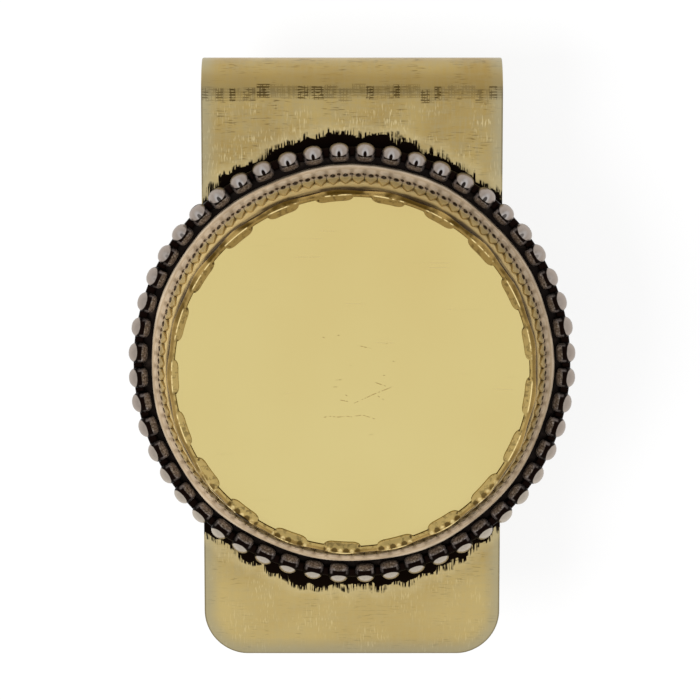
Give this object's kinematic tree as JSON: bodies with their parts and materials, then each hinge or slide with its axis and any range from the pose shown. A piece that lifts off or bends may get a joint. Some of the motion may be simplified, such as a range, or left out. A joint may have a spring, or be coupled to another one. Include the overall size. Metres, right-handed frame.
{
  "type": "money clip",
  "caption": "Folded metal strip money clip whose back leg springs against the front, with a raised round crown setting, pierced picot band, beaded border and blank polished disc.",
  "frame": {"origin": "on the resting plane, under the centre of the round setting and the middle of the strip's length", "axes": "+Z out of the polished face, +Y toward the fold, +X to the right seen from the front"},
  "size_m": [0.0378, 0.0512, 0.0122],
  "materials": {
    "strip": "satin brushed brass",
    "patina": "black oxidised",
    "beads": "polished over a dark oxide",
    "rose_brass": "satin, slightly pink",
    "collet": "bright polished",
    "disc": "mirror polished with fine scratches"
  },
  "bodies": {
    "front_body": {"front_plate": "strip", "base_plate": "patina", "bead_border": "beads", "picot_band": "rose_brass", "crown_collet": "collet", "bearer_ring": "collet", "face_disc": "disc"},
    "back_leg": {"spring_leg": "strip"}
  },
  "joints": [
    {"name": "leg_flex", "type": "hinge", "parent": "front_body", "child": "back_leg", "pos_m": [0, 0.0256, 0.0033], "axis": [1, 0, 0], "range_deg": [0, 7], "stiffness_Nm_per_rad": 2, "springref_deg": -3.44}
  ]
}
